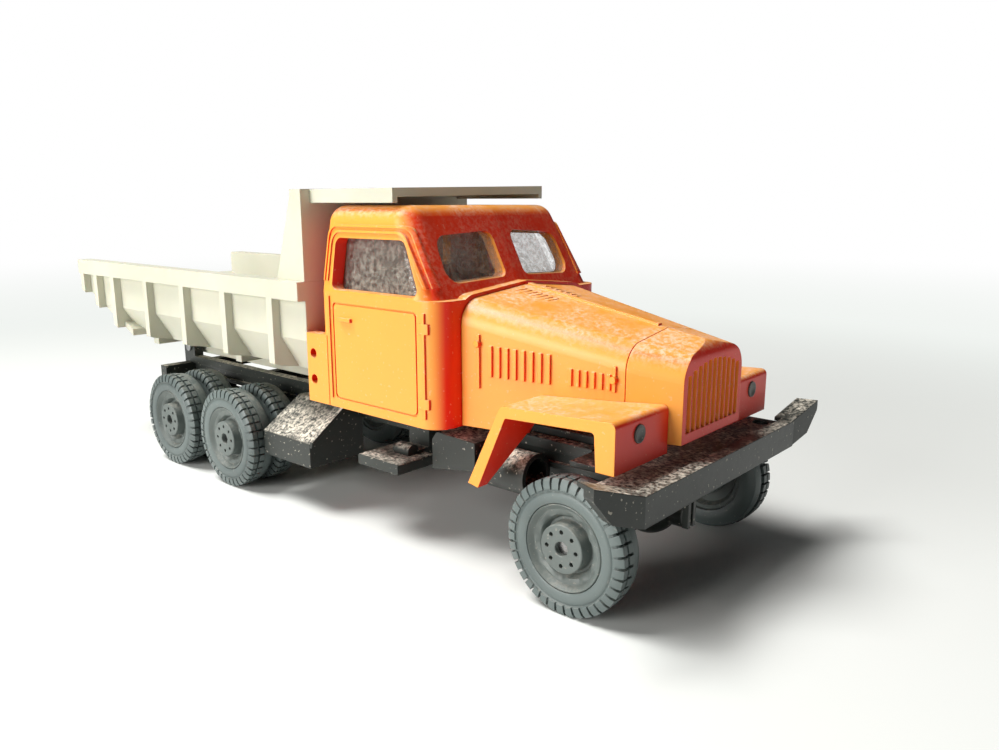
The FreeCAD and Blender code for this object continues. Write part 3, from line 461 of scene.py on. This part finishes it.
def rim(name, node, body, pin):
    """One dished rim with its stud holes and an uneven moulded dish."""
    place = WheelPlace(node)
    seat, width = place.radius / MM, place.width / MM
    shape = bmesh.new()
    revolve(shape, place, rim_rows(seat, width, pin), RIM_STEPS)
    stud_holes(shape, place)
    for v in shape.verts:
        out, deep, turn = place.measure(v.co)
        if 2.3 * MM < out < 2.95 * MM and deep < 1.0 * MM:
            ragged = bump_noise.noise(Vector((math.cos(turn) * 4, math.sin(turn) * 4, out / MM * 2)))
            v.co = place.point(out + 0.10 * MM * ragged, deep + 0.17 * MM * ragged, turn)
    finish_wheel_piece(shape, name, node, body, "rim")


def wheel_pieces():
    """Detailed tyres and rims in place of the plain ones."""
    for entry in frame["record"]["subparts"]:
        node = entry["node"]
        axle = node.split("_")[0]
        if entry["material_slot"] == "tyre":
            side = node.split("_")[-1]
            seat = WheelPlace(axle + "_rim_" + side).radius / MM
            tyre("treaded_" + node, node, axle + "_wheelset", seat)
        if entry["material_slot"] == "rim":
            pin = WheelPlace(axle + "_axle_pin").radius / MM
            rim("dished_" + node, node, axle + "_wheelset", pin)


wheel_pieces()


# ---------------------------------------------------------------- stage, lights and camera
def floor():
    """White table top that fades into the white surroundings."""
    mesh = bpy.data.meshes.new("table_top")
    shape = bmesh.new()
    bmesh.ops.create_grid(shape, x_segments=8, y_segments=8, size=TABLE_HALF)
    shape.to_mesh(mesh)
    shape.free()
    table = bpy.data.objects.new("table_top", mesh)
    bpy.context.scene.collection.objects.link(table)
    material = bpy.data.materials.new("table_white")
    material.use_nodes = True
    tree = material.node_tree
    shader = tree.nodes["Principled BSDF"]
    shader.inputs["Base Color"].default_value = (0.83, 0.85, 0.83, 1)
    shader.inputs["Roughness"].default_value = 0.45
    place = tree.nodes.new("ShaderNodeTexCoord").outputs["Object"]
    length = tree.nodes.new("ShaderNodeVectorMath")
    length.operation = "LENGTH"
    link(tree, place, length.inputs[0])
    # distances from the truck's middle, in metres
    far = ramp(tree, length.outputs["Value"], 0.05, 0.17)
    path = tree.nodes.new("ShaderNodeLightPath")
    seen = math_node(tree, "MAXIMUM", path.outputs["Is Camera Ray"], path.outputs["Is Glossy Ray"])
    seen = math_node(tree, "MAXIMUM", seen, path.outputs["Is Transmission Ray"])
    glow = tree.nodes.new("ShaderNodeEmission")
    farther = ramp(tree, length.outputs["Value"], 0.11, 0.45)
    link(tree, mix_colour(tree, farther, (0.87, 0.90, 0.87), (1.0, 1.0, 1.0)), glow.inputs["Color"])
    blend = tree.nodes.new("ShaderNodeMixShader")
    link(tree, math_node(tree, "MULTIPLY", far, seen), blend.inputs[0])
    link(tree, shader.outputs[0], blend.inputs[1])
    link(tree, glow.outputs[0], blend.inputs[2])
    link(tree, blend.outputs[0], tree.nodes["Material Output"].inputs["Surface"])
    mesh.materials.append(material)


def sky():
    """White surroundings for the camera, and a low even light for the truck."""
    world = bpy.data.worlds.new("studio")
    bpy.context.scene.world = world
    world.use_nodes = True
    tree = world.node_tree
    backdrop = tree.nodes["Background"]
    path = tree.nodes.new("ShaderNodeLightPath")
    seen = math_node(tree, "MAXIMUM", path.outputs["Is Camera Ray"], path.outputs["Is Transmission Ray"])
    backdrop.inputs["Color"].default_value = (1, 1, 1, 1)
    span = tree.nodes.new("ShaderNodeMapRange")
    span.inputs["To Min"].default_value = SKY_LEVEL
    span.inputs["To Max"].default_value = 1.0
    link(tree, seen, span.inputs["Value"])
    link(tree, span.outputs["Result"], backdrop.inputs["Strength"])


def area_lamp(name, spot, size, watts, tint):
    """Soft square lamp aimed at the truck."""
    data = bpy.data.lights.new(name, "AREA")
    data.shape = "SQUARE"
    data.size = size
    data.energy = watts
    data.color = tint
    lamp = bpy.data.objects.new(name, data)
    bpy.context.scene.collection.objects.link(lamp)
    lamp.location = spot
    lamp.rotation_euler = (Vector(LAMP_AIM) - Vector(spot)).to_track_quat("-Z", "Y").to_euler()


def camera():
    data = bpy.data.cameras.new("camera")
    data.lens = CAMERA_LENS
    data.sensor_width = 36.0
    data.clip_start = 0.002
    rig = bpy.data.objects.new("camera", data)
    bpy.context.scene.collection.objects.link(rig)
    turn, drop = math.radians(CAMERA_TURN), math.radians(CAMERA_DROP)
    ahead = Vector((-math.sin(turn) * math.cos(drop), math.cos(turn) * math.cos(drop), -math.sin(drop)))
    rig.location = (front_axle[0] + CAMERA_AHEAD, CAMERA_SIDE, CAMERA_HEIGHT)
    rig.rotation_euler = ahead.to_track_quat("-Z", "Y").to_euler()
    bpy.context.scene.camera = rig


floor()
sky()
area_lamp("overhead", (-0.16, -0.14, 0.45), 0.22, 3.3, (1.0, 0.99, 0.97))
area_lamp("side", (-0.10, -0.46, 0.13), 0.24, 1.95, (1.0, 0.98, 0.95))
camera()
view = bpy.context.scene.view_settings
view.view_transform = "Standard"
